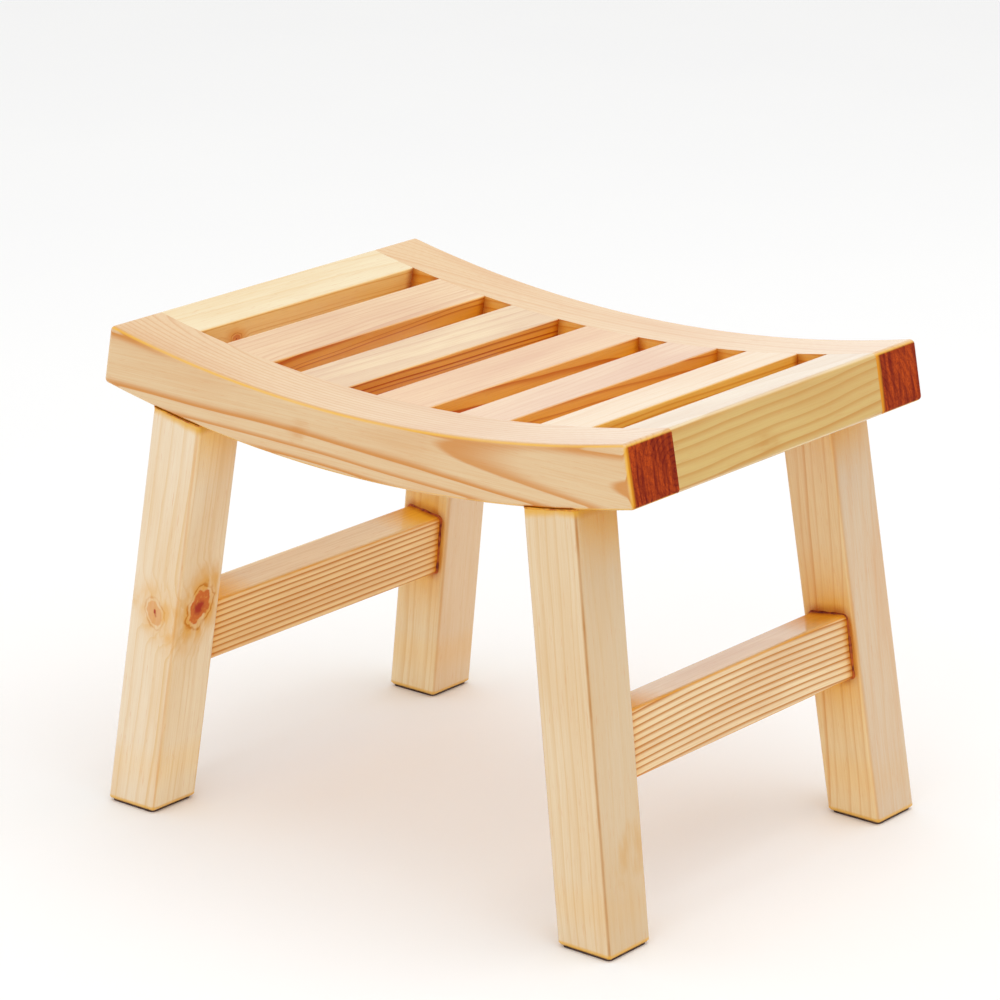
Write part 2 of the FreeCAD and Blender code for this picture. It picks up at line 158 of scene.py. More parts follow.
# Knots, and stains, which share their shape: how deep behind its face one reaches in millimetres, how far it
# is turned from the grain, how much a distance from its middle counts along it and across it, and how far the
# rings swell round a knot, as a share of its size.
KNOT_HEART = colour(166, 44, 16)
KNOT_BODY = colour(202, 104, 38)
KNOT_HALO = colour(222, 162, 66)
KNOT_RIM = colour(198, 120, 24)
KNOT_REACH = 10.0
KNOT_LEAN = math.radians(30)
KNOT_SQUASH = (0.84, 1.16, 1.16)
KNOT_SWELL = 1.3

# The scales of the wood's noises, per metre: along and across the grain, or along each of the board's axes.
BEND_SCALE = (7.0, 16.0)
CLOUD_SCALE = (7.0, 30.0)
FIBRE_SCALE = (26.0, 1500.0)
FLECK_SCALE = (90.0, 1900.0)
PORE_SCALE = (300.0, 900.0)
SMEAR_SCALE = (30.0, 240.0)
PATCH_SCALE = (30.0, 60.0)
SAW_SCALE = (60.0, 300.0, 30.0)
KNOT_FLOW_SCALE = (60.0, 160.0, 160.0)
KNOT_WARP_SCALE = (130.0, 130.0, 130.0)
KNOT_CRACK_SCALE = (420.0, 420.0, 420.0)

# How far one step of a seed moves a noise along each of the board's axes.
SEED_SHIFT = (7.31, 3.17, 5.77)

# How much of each mark shows at its strongest.
CLOUD_SHARE = 0.28
FIBRE_SHARE = 0.2
FLECK_SHARE = 0.25

# Where in a ring its late wood is full, and where it starts to end. Then how quickly the rings' unevenness
# changes from one ring to the next, and how far one step of a seed moves it.
LATE_FULL = 0.92
LATE_END = 0.93
UNEVEN_SCALE = 0.6
UNEVEN_SHIFT = 9.1

# The varnished surface: its roughness, what a fibre and an end add to it, how much coat a gap and a knot
# lack, how deep its relief is, and its optics.
BOARD_ROUGHNESS = 0.40
FIBRE_ROUGHNESS = 0.14
END_ROUGHNESS = 0.2
GAP_MATT = 0.9
KNOT_MATT = 0.85
BOARD_RELIEF = 0.1 * MM
BOARD_OPTICS = {"IOR": 1.45, "Specular IOR Level": 0.12, "Coat Roughness": 0.12, "Coat IOR": 1.5}

# How each board was cut from its log, with lengths in millimetres.
# early, late: its pale and its dark wood. second: the pale wood of its upper side, or of a leg's right side,
# partly its own tone and partly painted light and shade of that side.
# heart: where the pith runs, from the board's middle, along its second and third axes.
# drift, bow: how far the pith wanders per metre of board, and per metre squared.
# ring: the rings' spacing. start: where the first one is. uneven: how irregular they are.
# rise: where in a ring its late wood starts. wave: how far the rings bend in and out.
# depth: how dark the late wood is. other: how much of that is left on the upper side, or a leg's right side.
# steady: how alike the rings' darkness is. seed: where its noises start.
# matt: how much coat the late wood lacks, except on the upper side. shade: its share of the painted shade in
# gaps.
# arris: an edge colour and share of its own, in place of those in EDGE_WEAR_AND_HIGHLIGHT.
# knots, stains: a place, the axis out of the face it lies on, a size and a strength, and for a knot the share
# of it that is red heart.
BOARD_DEFAULTS = {
    "bow": (0, 0), "start": 0.0, "matt": 0.0, "shade": 1.0, "arris": None, "knots": [], "stains": [],
}
BOARDS = {
    "front_rail": {
        "kind": "rail", "seed": 1, "early": colour(221, 190, 145), "second": colour(227, 192, 143),
        "late": colour(200, 124, 14), "heart": (24, 5), "drift": (-11, -8), "bow": (-65, 60),
        "ring": 3.55, "start": 1.65, "uneven": 0.0, "rise": 0.52, "wave": 1.5,
        "depth": 0.95, "other": 0.45, "steady": 0.8, "stains": [((-44, -21, -8), 1, 6.5, 0.6)],
    },
    "rear_rail": {
        "kind": "rail", "seed": 2, "early": colour(228, 190, 138), "second": colour(228, 192, 140),
        "late": colour(206, 128, 20), "heart": (-40, -14), "drift": (14, 30),
        "ring": 3.8, "uneven": 0.6, "rise": 0.55, "wave": 3.0,
        "depth": 0.8, "other": 0.5, "steady": 0.5,
    },
    "end_slat_left": {
        "kind": "slat", "seed": 3, "early": colour(240, 216, 166), "second": colour(238, 220, 178),
        "late": colour(216, 160, 54), "heart": (-70, 26), "drift": (10, 60),
        "ring": 5.4, "uneven": 0.8, "rise": 0.55, "wave": 3.0,
        "depth": 0.8, "other": 0.4, "steady": 0.5, "shade": 0.6, "knots": [((-64, 6, 19), 2, 3.6, 0.8, 0.3)],
    },
    "slat_1": {
        "kind": "slat", "seed": 4, "early": colour(232, 190, 134), "second": colour(236, 204, 154),
        "late": colour(184, 84, 0), "heart": (-24, 42), "drift": (90, 60),
        "ring": 3.8, "uneven": 0.8, "rise": 0.5, "wave": 4.0,
        "depth": 0.9, "other": 0.34, "steady": 0.5, "knots": [((-98, -4, 15), 2, 4.0, 0.6, 0.3)],
    },
    "slat_2": {
        "kind": "slat", "seed": 5, "early": colour(230, 184, 124), "second": colour(236, 208, 158),
        "late": colour(172, 68, 0), "heart": (-60, 24), "drift": (-12, 20),
        "ring": 3.2, "uneven": 0.6, "rise": 0.45, "wave": 1.5,
        "depth": 1.0, "other": 0.26, "steady": 0.7,
    },
    "slat_3": {
        "kind": "slat", "seed": 6, "early": colour(232, 190, 130), "second": colour(230, 188, 134),
        "late": colour(190, 88, 0), "heart": (-10, 52), "drift": (14, 46),
        "ring": 4.4, "uneven": 0.8, "rise": 0.5, "wave": 4.0,
        "depth": 1.0, "other": 0.2, "steady": 0.5,
    },
    "slat_4": {
        "kind": "slat", "seed": 7, "early": colour(232, 190, 130), "second": colour(229, 190, 143),
        "late": colour(188, 86, 0), "heart": (-44, -48), "drift": (-10, -34),
        "ring": 4.0, "uneven": 0.8, "rise": 0.5, "wave": 3.0,
        "depth": 1.0, "other": 0.2, "steady": 0.5,
    },
    "slat_5": {
        "kind": "slat", "seed": 8, "early": colour(238, 208, 138), "second": colour(232, 204, 160),
        "late": colour(212, 136, 6), "heart": (-50, 46), "drift": (8, 10),
        "ring": 4.2, "uneven": 0.8, "rise": 0.5, "wave": 3.0,
        "depth": 0.9, "other": 0.2, "steady": 0.6, "shade": 0.85,
    },
    "end_slat_right": {
        "kind": "slat", "seed": 9, "early": colour(208, 174, 98), "second": colour(228, 207, 172),
        "late": colour(190, 128, 20), "heart": (-100, -20), "drift": (36, 10),
        "ring": 5.8, "uneven": 0.4, "rise": 0.36, "wave": 6.0,
        "depth": 0.9, "other": 0.3, "steady": 0.6, "stains": [((-15, -12, 19), 2, 10.0, 0.6)],
    },
    "leg_front_left": {
        "kind": "leg", "seed": 10, "early": colour(231, 211, 181), "second": colour(238, 219, 184),
        "late": colour(214, 164, 80), "heart": (58, 50), "drift": (4, 6),
        "ring": 5.4, "uneven": 0.8, "rise": 0.5, "wave": 3.0,
        "depth": 0.5, "other": 0.8, "steady": 0.4,
        "knots": [((-1, 2, -19), 2, 6.8, 0.55, 0.3), ((5, 19, 1), 1, 9.6, 1.0, 0.66)],
    },
    "leg_front_right": {
        "kind": "leg", "seed": 11, "early": colour(225, 202, 166), "second": colour(212, 186, 148),
        "late": colour(206, 156, 80), "heart": (-62, 40), "drift": (8, 12),
        "ring": 4.4, "uneven": 0.8, "rise": 0.5, "wave": 4.0,
        "depth": 0.4, "other": 0.5, "steady": 0.4, "arris": (colour(176, 112, 20), 0.9),
        "stains": [((-76, 19, 6), 1, 14.0, 0.7)],
    },
    "leg_rear_left": {
        "kind": "leg", "seed": 12, "early": colour(236, 215, 173), "second": colour(226, 196, 156),
        "late": colour(212, 156, 72), "heart": (-50, 54), "drift": (6, 10),
        "ring": 4.6, "uneven": 0.8, "rise": 0.5, "wave": 2.0,
        "depth": 0.4, "other": 0.3, "steady": 0.4,
    },
    "leg_rear_right": {
        "kind": "leg", "seed": 13, "early": colour(232, 203, 152), "second": colour(212, 186, 152),
        "late": colour(206, 132, 20), "heart": (-44, -40), "drift": (46, 30),
        "ring": 6.5, "uneven": 0.6, "rise": 0.55, "wave": 6.0,
        "depth": 0.6, "other": 0.3, "steady": 0.4,
    },
    "stretcher_left": {
        "kind": "stretcher", "seed": 14, "early": colour(242, 207, 142), "second": colour(246, 222, 170),
        "late": colour(194, 112, 0), "heart": (-120, 8), "drift": (6, 4),
        "ring": 4.0, "start": 2.1, "uneven": 0.15, "rise": 0.36, "wave": 1.0,
        "depth": 1.0, "other": 0.25, "steady": 0.9, "matt": 0.8,
    },
    "stretcher_right": {
        "kind": "stretcher", "seed": 15, "early": colour(236, 208, 160), "second": colour(228, 198, 150),
        "late": colour(186, 112, 0), "heart": (-120, 6), "drift": (2, 4), "bow": (-200, 0),
        "ring": 4.0, "start": 1.0, "uneven": 0.15, "rise": 0.38, "wave": 1.2,
        "depth": 1.0, "other": 0.15, "steady": 0.9, "matt": 0.6,
    },
}

# The beads of glue and varnish at the joints: their radii, how far a leg's one stands off its top, the space
# between their rings of points, how many points a ring has, and how lumpy they are.
GLUE_COLOURS = (colour(112, 34, 8), colour(186, 88, 22))
VARNISH_COLOURS = (colour(176, 88, 16), colour(226, 156, 40))
STRETCHER_BEAD = 0.95 * MM
LEG_BEAD = 0.45 * MM
LEG_BEAD_LIFT = 0.1 * MM
BEAD_STEP = 1.5 * MM
BEAD_SIDES = 8
BEAD_UNEVEN = 0.9
BEAD_LUMPS = 190.0

# The faces that make up a board's end: how squarely they look along it, and how far behind the outermost one
# they may lie.
END_SQUARE = 0.985
END_DEPTH = 6 * MM


class Shader:
    """Adds nodes to a tree. A value given to an input is a socket to link, or a constant to set."""

    def __init__(self, tree):
        self.tree = tree

    def add(self, kind, inputs=None, **settings):
        node = self.tree.nodes.new(kind)
        for name, value in settings.items():
            setattr(node, name, value)
        for name, value in (inputs or {}).items():
            self.put(node.inputs[name], value)
        return node

    def put(self, socket, value):
        if isinstance(value, bpy.types.NodeSocket):
            self.tree.links.new(value, socket)
        else:
            socket.default_value = value

    def math(self, operation, first, second=0.0, third=0.0):
        return self.add("ShaderNodeMath", {0: first, 1: second, 2: third}, operation=operation).outputs[0]

    def vector(self, operation, first, second=(0.0, 0.0, 0.0)):
        return self.add("ShaderNodeVectorMath", {0: first, 1: second}, operation=operation).outputs[0]

    def parts(self, vector):
        return self.add("ShaderNodeSeparateXYZ", {"Vector": vector}).outputs

    def place(self):
        """The shaded point in the object's own coordinates."""
        return self.add("ShaderNodeTexCoord").outputs["Object"]

    def step(self, value, low, high, to_low=0.0, to_high=1.0):
        """A smooth change from to_low to to_high as value goes from low to high."""
        node = self.add(
            "ShaderNodeMapRange",
            {"Value": value, "From Min": low, "From Max": high, "To Min": to_low, "To Max": to_high},
            interpolation_type="SMOOTHSTEP",
        )
        return node.outputs["Result"]

    def mix(self, share, first, second, blend="MIX"):
        node = self.add("ShaderNodeMix", data_type="RGBA", blend_type=blend, clamp_factor=True)
        self.put(node.inputs[0], share)
        self.put(node.inputs[6], first)
        self.put(node.inputs[7], second)
        return node.outputs[2]

    def noise(self, point, scale=1.0, detail=2.0):
        return self.add("ShaderNodeTexNoise", {"Vector": point, "Scale": scale, "Detail": detail}).outputs

    def stretched(self, point, scales, seed):
        """The board's point with other scales along and across the grain, moved on by a seed."""
        along, across = scales
        scaled = self.vector("MULTIPLY", point, (along, across, across))
        return self.vector("ADD", scaled, tuple(seed * shift for shift in SEED_SHIFT))

    def grain(self, point, scales, seed, detail):
        """A noise with one scale along the grain and another across it."""
        return self.noise(self.stretched(point, scales, seed), detail=detail)[0]

    def nudge(self, colour_noise, amounts):
        """A noise's colour as a vector about zero, as far each way as half of the amounts."""
        centred = self.vector("SUBTRACT", colour_noise, (0.5, 0.5, 0.5))
        return self.vector("MULTIPLY", centred, amounts)

    def open_sky(self, reach):
        """The share of the sky that nothing hides within a reach."""
        return self.add("ShaderNodeAmbientOcclusion", {"Distance": reach}, samples=4).outputs["AO"]

    def relief(self, height, strength, distance):
        inputs = {"Height": height, "Strength": strength, "Distance": distance}
        return self.add("ShaderNodeBump", inputs).outputs[0]

    def surface(self, inputs):
        """Makes one principled shader with these inputs the tree's result."""
        principled = self.add("ShaderNodeBsdfPrincipled", inputs)
        self.add("ShaderNodeOutputMaterial", {"Surface": principled.outputs[0]})


def new_material(name):
    """An empty material, and a Shader to fill it with."""
    material = bpy.data.materials.new(name)
    material.use_nodes = True
    material.node_tree.nodes.clear()
    return material, Shader(material.node_tree)


def middle(box):
    low, high = box
    return (low + high) / 2


def board_axes(node, kind):
    """Unit vectors along a board's grain and its two cross directions, from the board's own flat faces."""
    world = {"X": Vector((1, 0, 0)), "Y": Vector((0, 1, 0)), "Z": Vector((0, 0, 1))}
    if kind == "rail":
        return [world[letter] for letter in GRAIN_AXES[kind]]
    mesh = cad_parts[node].data
    cross = []
    for letter in GRAIN_AXES[kind][1:]:
        facing = [p for p in mesh.polygons if abs(p.normal.dot(world[letter])) > 0.9]
        largest = max(facing, key=lambda p: p.area)
        sign = 1.0 if largest.normal.dot(world[letter]) > 0 else -1.0
        cross.append(largest.normal.normalized() * sign)
    grain = cross[0].cross(cross[1]).normalized()
    return [grain, cross[0], grain.cross(cross[0])]


def board_frame(shader, node, kind):
    """The point and the normal in the board's own frame: first along the grain, from the board's middle."""
    grain, second, third = board_axes(node, kind)
    turn = Matrix((grain, second, third)).transposed().to_euler("XYZ")
    coordinates = shader.add("ShaderNodeTexCoord").outputs
    from_middle = shader.vector("SUBTRACT", coordinates["Object"], tuple(middle(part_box(node))))
    turned = []
    for vector in (from_middle, coordinates["Normal"]):
        rotate = shader.add(
            "ShaderNodeVectorRotate",
            {"Vector": vector, "Rotation": turn},
            rotation_type="EULER_XYZ",
            invert=True,
        )
        turned.append(rotate.outputs[0])
    return turned


def growth_rings(shader, point, board, swell):
    """Late wood from 0 to 1, ring by ring, about a pith that wanders along the board."""
    seed = board["seed"]
    wave = 2 * board["wave"] * MM
    bend = shader.noise(shader.stretched(point, BEND_SCALE, seed), detail=1.5)["Color"]
    bend = shader.nudge(bend, (0.0, wave, wave))
    parts = shader.parts(shader.vector("ADD", point, bend))
    squares = []
    for part, heart, drift, bow in zip(parts[1:], board["heart"], board["drift"], board["bow"]):
        slope = shader.math("MULTIPLY_ADD", parts[0], bow * MM, drift * MM)
        pith = shader.math("MULTIPLY_ADD", parts[0], slope, heart * MM)
        away = shader.math("SUBTRACT", part, pith)
        squares.append(shader.math("MULTIPLY", away, away))
    radius = shader.math("SQRT", shader.math("ADD", squares[0], squares[1]))
    if swell is not None:
        radius = shader.math("ADD", radius, swell)
    from_first = shader.math("SUBTRACT", radius, board["start"] * MM)
    rings = shader.math("DIVIDE", from_first, board["ring"] * MM)
    wander = shader.math("MULTIPLY_ADD", rings, UNEVEN_SCALE, seed * UNEVEN_SHIFT)
    uneven = shader.add(
        "ShaderNodeTexNoise",
        {"W": wander, "Scale": 1.0, "Detail": 1.0},
        noise_dimensions="1D",
    )
    rings = shader.math("MULTIPLY_ADD", uneven.outputs[0], 2 * board["uneven"], rings)
    share = shader.math("FRACT", rings)
    rise = shader.step(share, board["rise"], LATE_FULL)
    fall = shader.step(share, LATE_END, 1.0, 1.0, 0.0)
    year = shader.add(
        "ShaderNodeTexWhiteNoise",
        {"W": shader.math("ADD", shader.math("FLOOR", rings), seed)},
        noise_dimensions="1D",
    )
    steady = board["steady"]
    strength = shader.math("MULTIPLY_ADD", year.outputs["Value"], 1.0 - steady, steady)
    return shader.math("MULTIPLY", shader.math("MULTIPLY", rise, fall), strength)


def spot(shader, point, place, axis, size):
    """A point's distance from the middle of a knot or stain, in its sizes. Deep in the wood it is over 9."""
    squash = list(KNOT_SQUASH)
    squash[axis] = 0.0
    out = [0.0, 0.0, 0.0]
    out[axis] = 1.0
    offset = shader.vector("SUBTRACT", point, tuple(value * MM for value in place))
    turned = shader.add(
        "ShaderNodeVectorRotate",
        {"Vector": offset, "Axis": out, "Angle": KNOT_LEAN},
        rotation_type="AXIS_ANGLE",
    )
    flat = shader.vector("MULTIPLY", turned.outputs[0], tuple(squash))
    warp = shader.noise(shader.vector("MULTIPLY", point, KNOT_WARP_SCALE))["Color"]
    flat = shader.vector("ADD", flat, shader.nudge(warp, (size * MM, size * MM, size * MM)))
    length = shader.add("ShaderNodeVectorMath", {0: flat}, operation="LENGTH").outputs["Value"]
    inward = shader.math("ABSOLUTE", shader.parts(offset)[axis])
    beyond = shader.step(inward, KNOT_REACH * MM, 1.5 * KNOT_REACH * MM, 0.0, 9.0)
    return shader.math("ADD", shader.math("DIVIDE", length, size * MM), beyond)


def knot_swell(shader, knots):
    """How far the rings swell round a board's knots, or None on a board with no knot."""
    swell = None
    for near, size, _, _ in knots:
        bulge = shader.step(near, 0.2, 3.6, KNOT_SWELL * size * MM, 0.0)
        swell = bulge if swell is None else shader.math("ADD", swell, bulge)
    return swell


def paint_knot(shader, side, near, point, strength, heart):
    """A knot's golden halo, broken dark rim, pale ring, orange body with fine cracks, and red heart."""
    flow = shader.noise(shader.vector("MULTIPLY", point, KNOT_FLOW_SCALE))[0]
    halo = shader.step(near, 1.1, 3.4, 1.0, 0.0)
    halo = shader.math("MULTIPLY", halo, shader.step(flow, 0.35, 0.6, 0.4, 1.0))
    side = shader.mix(shader.math("MULTIPLY", halo, 0.9 * strength), side, KNOT_HALO)
    rim = shader.math("MULTIPLY", shader.step(near, 1.14, 1.22), shader.step(near, 1.24, 1.44, 1.0, 0.0))
    rim = shader.math("MULTIPLY", rim, shader.step(flow, 0.35, 0.6, 0.3, 1.0))
    side = shader.mix(shader.math("MULTIPLY", rim, strength), side, KNOT_RIM)
    crack = shader.noise(shader.vector("MULTIPLY", point, KNOT_CRACK_SCALE))[0]
    tone = shader.mix(strength, KNOT_HALO, KNOT_BODY)
    body = shader.mix(shader.step(crack, 0.5, 0.75, 0.0, 0.6), tone, KNOT_HALO)
    side = shader.mix(shader.step(near, 0.88, 1.02, strength, 0.0), side, body)
    core = shader.step(near, 0.3 * heart, heart, min(1.0, 1.8 * strength), 0.0)
    return shader.mix(core, side, KNOT_HEART)


def paint_side(shader, board, point, facing_up, late, fibre):
    """The wood along the grain: its rings, fibres, clouds, flecks of varnish and smeared stains."""
    seed = board["seed"]
    dark = board["late"]
    depth = shader.step(facing_up, UP_FROM, UP_TO, board["depth"], board["depth"] * board["other"])
    # The upper side, or a leg's right side, has its own pale colour: partly the wood's tone, partly painted
    # light and shade.
    pale = shader.mix(shader.step(facing_up, UP_FROM, UP_TO), board["early"], board["second"])
    side = shader.mix(shader.math("MULTIPLY", late, depth), pale, dark)
    side = shader.mix(shader.step(fibre, 0.35, 0.75, 0.0, FIBRE_SHARE), side, dark)
    cloud = shader.grain(point, CLOUD_SCALE, seed + 9, 2.0)
    side = shader.mix(shader.step(cloud, 0.4, 0.75, 0.0, CLOUD_SHARE), side, dark)
    fleck = shader.step(shader.grain(point, FLECK_SCALE, seed + 5, 1.0), 0.66, 0.74)
    side = shader.mix(shader.math("MULTIPLY", fleck, FLECK_SHARE), side, POOL)
    for place, axis, size, strength in board["stains"]:
        near = spot(shader, point, place, axis, size)
        smear = shader.step(shader.grain(point, SMEAR_SCALE, seed, 2.0), 0.3, 0.6)
        smear = shader.math("MULTIPLY", smear, shader.step(near, 0.2, 1.6, strength, 0.0))
        side = shader.mix(smear, side, dark)
    return side


def paint_end(shader, board, point, late):
    """The wood across the grain: its sawn streaks, pores and strokes, and the pale front of a rail's end."""
    seed = board["seed"]
    sawn = shader.vector("ADD", shader.vector("MULTIPLY", point, SAW_SCALE), (seed, seed, seed))
    streak = shader.noise(sawn, detail=3.0)[0]
    share = shader.math("MULTIPLY_ADD", late, 0.3, shader.step(streak, 0.36, 0.64, 0.0, 0.7))
    end = shader.mix(share, END_EARLY, END_LATE)
    pores = shader.grain(point, PORE_SCALE, seed, 3.0)
    end = shader.mix(shader.step(pores, 0.45, 0.7, 0.0, 0.5), end, END_LATE)
    strokes = shader.add(
        "ShaderNodeTexWave",
        {"Vector": point, "Scale": 90.0, "Distortion": 9.0, "Detail": 3.0, "Detail Scale": 1.6},
        bands_direction="DIAGONAL",
    ).outputs[1]
    end = shader.mix(shader.step(strokes, 0.45, 0.9, 0.0, 0.3), end, END_LATE)
    if board["kind"] == "rail":
        forward = shader.math("MULTIPLY", shader.parts(point)[1], -1.0)
        forward = shader.math("MULTIPLY_ADD", streak, END_RIM_UNEVEN, forward)
        rim = shader.step(forward, END_RIM_FROM, END_RIM_FULL, 0.0, END_RIM_SHARE)
        end = shader.mix(rim, end, END_RIM)
    return end


def edge_masks(shader, normal):
    """How far the surface is an end of the grain, and how far it is a rounded edge."""
    parts = shader.parts(shader.vector("ABSOLUTE", normal))
    most = shader.math("MAXIMUM", parts[0], shader.math("MAXIMUM", parts[1], parts[2]))
    least = shader.math("MINIMUM", parts[0], shader.math("MINIMUM", parts[1], parts[2]))
    total = shader.math("ADD", parts[0], shader.math("ADD", parts[1], parts[2]))
    between = shader.math("SUBTRACT", shader.math("SUBTRACT", total, most), least)
    return shader.step(parts[0], 0.6, 0.9), shader.step(between, 0.36, 0.66)


def paint_edge_wear_and_highlight(shader, board, surface, edge, patchy):
    """The rounded edges, in a colour of their own: partly wear, partly a painted highlight, shown unevenly.
    """
    edge_colour, share = board["arris"] or EDGE_WEAR_AND_HIGHLIGHT[board["kind"]]
    shown = shader.math("MULTIPLY", edge, shader.step(patchy, 0.3, 0.7, 0.6 * share, share))
    # The edge colour is partly wear and partly a painted highlight along the rounded arris.
    return shader.mix(shown, surface, edge_colour)


def shoulder_depth(shader, node, place):
    """How far below the flat top of a leg a point is."""
    tops = [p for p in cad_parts[node].data.polygons if p.normal.z > 0.8]
    top = max(tops, key=lambda p: p.area)
    away = shader.vector("SUBTRACT", place, tuple(top.center))
    dot = shader.add("ShaderNodeVectorMath", {0: away, 1: tuple(-top.normal)}, operation="DOT_PRODUCT")
    return dot.outputs["Value"]


def paint_shade_and_glow(shader, node, board, surface, patchy):
    """Painted shade deep in gaps; dark joint lines and painted shade in tight corners; a painted glow at a
    leg's top and yellow at its foot. Also gives how deep in a gap it is.
    """
    place = shader.place()
    above_floor = shader.math("SUBTRACT", shader.parts(place)[2], CAD_BOX[0].z)
    clear = shader.step(above_floor, CLEAR_FROM, CLEAR_TO)
    deep = shader.step(shader.open_sky(GAP_REACH), GAP_FULL[board["kind"]], GAP_NONE, 1.0, 0.0)
    deep = shader.math("MULTIPLY", deep, clear)
    # Painted shade: a golden-orange tint multiplied in where other boards hide the sky, as deep in a gap.
    surface = shader.mix(shader.math("MULTIPLY", deep, board["shade"]), surface, GAP_SHADE_TINT, "MULTIPLY")
    # A dark line where a tight corner hides the sky: partly the joint's real dark line, partly painted shade.
    seam_and_shade = shader.step(shader.open_sky(SEAM_SHADE_REACH), SEAM_SHADE_FULL, SEAM_SHADE_NONE, 1.0, 0.0)
    seam_and_shade = shader.math("MULTIPLY", seam_and_shade, shader.step(patchy, 0.35, 0.6, 0.5, 1.0))
    seam_and_shade = shader.math("MULTIPLY", seam_and_shade, clear)
    surface = shader.mix(seam_and_shade, surface, SEAM_AND_SHADE)
    if board["kind"] == "leg":
        # A painted glow at the top of a leg, under the rail, and a yellow band at its foot.
        below = shoulder_depth(shader, node, place)
        below = shader.math("MULTIPLY_ADD", patchy, TOP_GLOW_UNEVEN, below)
        glow = shader.step(below, TOP_GLOW_FULL, TOP_GLOW_GONE, TOP_GLOW_SHARE, 0.0)
        surface = shader.mix(glow, surface, JOINT_GLOW)
        glow = shader.step(above_floor, FOOT_GLOW_FULL, FOOT_GLOW_GONE, FOOT_GLOW_SHARE, 0.0)
        surface = shader.mix(glow, surface, JOINT_GLOW)
    return surface, deep


def pine(node, cut):
    """A varnished pine board: figured sides, knots, red-brown ends, edges with wear and painted highlights,
    and painted shade and glow in its joints.
    """
    material, shader = new_material("pine_" + node)
    board = {**BOARD_DEFAULTS, **cut}
    seed = board["seed"]
    point, normal = board_frame(shader, node, board["kind"])
    facing_up = shader.parts(normal)[UP_PART[board["kind"]]]
    end, edge = edge_masks(shader, normal)
    knots = []
    for place, axis, size, strength, heart in board["knots"]:
        knots.append((spot(shader, point, place, axis, size), size, strength, heart))
    late = growth_rings(shader, point, board, knot_swell(shader, knots))
    fibre = shader.grain(point, FIBRE_SCALE, seed, 3.0)
    patchy = shader.grain(point, PATCH_SCALE, seed + 3, 3.0)

    side = paint_side(shader, board, point, facing_up, late, fibre)
    dry = 0.0
    for near, _, strength, heart in knots:
        side = paint_knot(shader, side, near, point, strength, heart)
        dry = shader.math("ADD", dry, shader.step(near, 1.3, 2.4, KNOT_MATT * strength, 0.0))
    surface = shader.mix(end, side, paint_end(shader, board, point, late))
    surface = paint_edge_wear_and_highlight(shader, board, surface, edge, patchy)
    surface, deep = paint_shade_and_glow(shader, node, board, surface, patchy)

    dull = shader.math("MAXIMUM", dry, shader.math("MULTIPLY", deep, GAP_MATT))
    dull = shader.math("MAXIMUM", end, dull)
    if board["matt"]:
        matt = shader.step(facing_up, UP_FROM, UP_TO, board["matt"], 0.0)
        dull = shader.math("MAXIMUM", dull, shader.math("MULTIPLY", late, matt))
    height = shader.math("MULTIPLY_ADD", fibre, 0.4, shader.math("MULTIPLY", late, 0.6))
    rough = shader.math("MULTIPLY_ADD", end, END_ROUGHNESS, BOARD_ROUGHNESS)
    shader.surface({
        "Base Color": surface,
        "Roughness": shader.math("MULTIPLY_ADD", fibre, FIBRE_ROUGHNESS, rough),
        "Coat Weight": shader.math("SUBTRACT", 1.0, dull),
        "Normal": shader.relief(height, 0.25, BOARD_RELIEF),
        **BOARD_OPTICS,
    })
    return material


def rubber():
    """Dark brown rubber of the foot pads, scuffed and slightly grained."""
    material, shader = new_material("foot_rubber")
    point = shader.place()
    grain = shader.noise(point, scale=900.0, detail=4.0)[0]
    scuff = shader.noise(point, scale=120.0, detail=3.0)[0]
    shader.surface({
        "Base Color": shader.mix(shader.step(scuff, 0.35, 0.7), *RUBBER_COLOURS),
        "Roughness": shader.step(grain, 0.2, 0.8, 0.6, 0.9),
        "Normal": shader.relief(grain, 0.4, FINE_RELIEF),
    })
    return material


def dowel_wood():
    """Beech of the hidden dowels: short dark rays on pale pinkish wood."""
    material, shader = new_material("beech_dowel")
    stretched = shader.vector("MULTIPLY", shader.place(), (900.0, 200.0, 900.0))
    rays = shader.noise(stretched, detail=3.0)[0]
    shader.surface({
        "Base Color": shader.mix(shader.step(rays, 0.4, 0.75), *BEECH_COLOURS),
        "Roughness": shader.step(rays, 0.2, 0.8, 0.5, 0.7),
        "Normal": shader.relief(rays, 0.3, FINE_RELIEF),
    })
    return material


def resin(name, colours):
    """Squeezed-out glue or varnish: glossy, with dark and light clouds."""
    material, shader = new_material(name)
    cloud = shader.noise(shader.place(), scale=240.0, detail=3.0)[0]
    shader.surface({
        "Base Color": shader.mix(shader.step(cloud, 0.35, 0.65), *colours),
        "Roughness": shader.step(cloud, 0.2, 0.8, 0.25, 0.5),
        "Normal": shader.relief(cloud, 0.3, FINE_RELIEF),
        "Specular IOR Level": 0.3,
    })
    return material


def wear(node, material):
    """Gives a CAD node one material all over."""
    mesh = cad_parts[node].data
    mesh.materials.clear()
    mesh.materials.append(material)


def dress_nodes():
    for node, board in BOARDS.items():
        wear(node, pine(node, board))
    pad = rubber()
    peg = dowel_wood()
    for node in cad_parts:
        if node.startswith("foot_pad"):
            wear(node, pad)
        elif node.endswith("dowels"):
            wear(node, peg)


